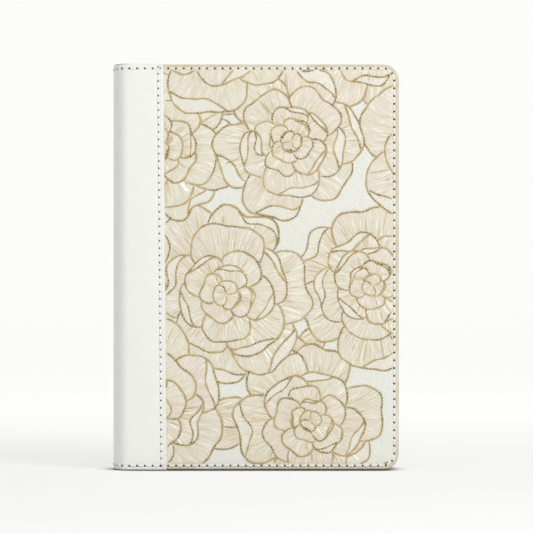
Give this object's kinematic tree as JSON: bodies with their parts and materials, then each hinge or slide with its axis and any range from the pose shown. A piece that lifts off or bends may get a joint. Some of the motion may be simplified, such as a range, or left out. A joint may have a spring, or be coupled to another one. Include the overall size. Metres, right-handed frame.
{
  "type": "prayer book",
  "caption": "Upright rectangular prayer book with a flexible stitched cover, a white spine strip, rounded fore edge corners, and covers and leaves that turn.",
  "frame": {"origin": "bottom centre of the closed book standing on its tail edge", "axes": "+Z from tail to head, +X from the spine to the fore edge, +Y from the front cover to the back cover"},
  "size_m": [0.1514, 0.032, 0.215],
  "materials": {
    "printed_leatherette": "soft imitation leather with a fine diagonal rib, printed in cream and blush, satin",
    "gold_thread": "two-ply twisted gold embroidery cord",
    "white_leatherette": "smooth white imitation leather, satin, very fine grain",
    "stitching_thread": "white twisted polyester thread",
    "cover_card": "grey flexible card",
    "lining_paper": "strong plain lining paper",
    "endpaper": "plain ivory endpaper",
    "page_paper": "thin plain cream paper with plain trimmed edges",
    "mull_cloth": "open cotton gauze",
    "sewing_linen": "waxed linen thread",
    "band_silk": "cream and gold striped silk band"
  },
  "bodies": {
    "spine": {"spine_skin": "white_leatherette", "spine_stiffener": "cover_card", "spine_paper": "lining_paper", "spine_mull": "mull_cloth", "head_band": "band_silk", "tail_band": "band_silk", "sewing_threads": "sewing_linen", "spine_stitches": "stitching_thread", "front_section_folds": "page_paper", "back_section_folds": "page_paper", "section_07": "page_paper", "section_08": "page_paper", "section_09": "page_paper", "section_10": "page_paper"},
    "front_cover": {"front_panel": "printed_leatherette", "front_board": "cover_card", "front_lining": "lining_paper", "front_pastedown": "endpaper", "front_strip": "white_leatherette", "front_edge_stitches": "stitching_thread", "front_strip_stitches": "stitching_thread"},
    "front_flyleaf": {"front_flyleaf": "endpaper"},
    "front_leaves_a": {"section_01": "page_paper", "section_02": "page_paper"},
    "front_leaves_b": {"section_03": "page_paper", "section_04": "page_paper"},
    "front_leaves_c": {"section_05": "page_paper", "section_06": "page_paper"},
    "back_leaves_c": {"section_11": "page_paper", "section_12": "page_paper"},
    "back_leaves_b": {"section_13": "page_paper", "section_14": "page_paper"},
    "back_leaves_a": {"section_15": "page_paper", "section_16": "page_paper"},
    "back_flyleaf": {"back_flyleaf": "endpaper"},
    "back_cover": {"back_panel": "printed_leatherette", "back_board": "cover_card", "back_lining": "lining_paper", "back_pastedown": "endpaper", "back_strip": "white_leatherette", "back_edge_stitches": "stitching_thread", "back_strip_stitches": "stitching_thread"}
  },
  "joints": [
    {"name": "front_cover_hinge", "type": "hinge", "parent": "spine", "child": "front_cover", "pos_m": [-0.067, -0.01595, 0], "axis": [0, 0, -1], "range_deg": [0, 178]},
    {"name": "front_flyleaf_turn", "type": "hinge", "parent": "spine", "child": "front_flyleaf", "pos_m": [-0.067, -0.01595, 0], "axis": [0, 0, -1], "range_deg": [0, 160.2]},
    {"name": "front_leaves_a_turn", "type": "hinge", "parent": "spine", "child": "front_leaves_a", "pos_m": [-0.067, -0.01595, 0], "axis": [0, 0, -1], "range_deg": [0, 89]},
    {"name": "front_leaves_b_turn", "type": "hinge", "parent": "spine", "child": "front_leaves_b", "pos_m": [-0.067, -0.01595, 0], "axis": [0, 0, -1], "range_deg": [0, 64.08]},
    {"name": "front_leaves_c_turn", "type": "hinge", "parent": "spine", "child": "front_leaves_c", "pos_m": [-0.067, -0.01595, 0], "axis": [0, 0, -1], "range_deg": [0, 35.6]},
    {"name": "back_cover_hinge", "type": "hinge", "parent": "spine", "child": "back_cover", "pos_m": [-0.067, 0.01595, 0], "axis": [0, 0, 1], "range_deg": [0, 178]},
    {"name": "back_flyleaf_turn", "type": "hinge", "parent": "spine", "child": "back_flyleaf", "pos_m": [-0.067, 0.01595, 0], "axis": [0, 0, 1], "range_deg": [0, 160.2]},
    {"name": "back_leaves_a_turn", "type": "hinge", "parent": "spine", "child": "back_leaves_a", "pos_m": [-0.067, 0.01595, 0], "axis": [0, 0, 1], "range_deg": [0, 89]},
    {"name": "back_leaves_b_turn", "type": "hinge", "parent": "spine", "child": "back_leaves_b", "pos_m": [-0.067, 0.01595, 0], "axis": [0, 0, 1], "range_deg": [0, 64.08]},
    {"name": "back_leaves_c_turn", "type": "hinge", "parent": "spine", "child": "back_leaves_c", "pos_m": [-0.067, 0.01595, 0], "axis": [0, 0, 1], "range_deg": [0, 35.6]}
  ],
  "couplings": [
    {"joint": "front_flyleaf_turn", "follows": "front_cover_hinge", "ratio": 0.9},
    {"joint": "front_leaves_a_turn", "follows": "front_cover_hinge", "ratio": 0.5},
    {"joint": "front_leaves_b_turn", "follows": "front_cover_hinge", "ratio": 0.36},
    {"joint": "front_leaves_c_turn", "follows": "front_cover_hinge", "ratio": 0.2},
    {"joint": "back_flyleaf_turn", "follows": "back_cover_hinge", "ratio": 0.9},
    {"joint": "back_leaves_a_turn", "follows": "back_cover_hinge", "ratio": 0.5},
    {"joint": "back_leaves_b_turn", "follows": "back_cover_hinge", "ratio": 0.36},
    {"joint": "back_leaves_c_turn", "follows": "back_cover_hinge", "ratio": 0.2}
  ]
}
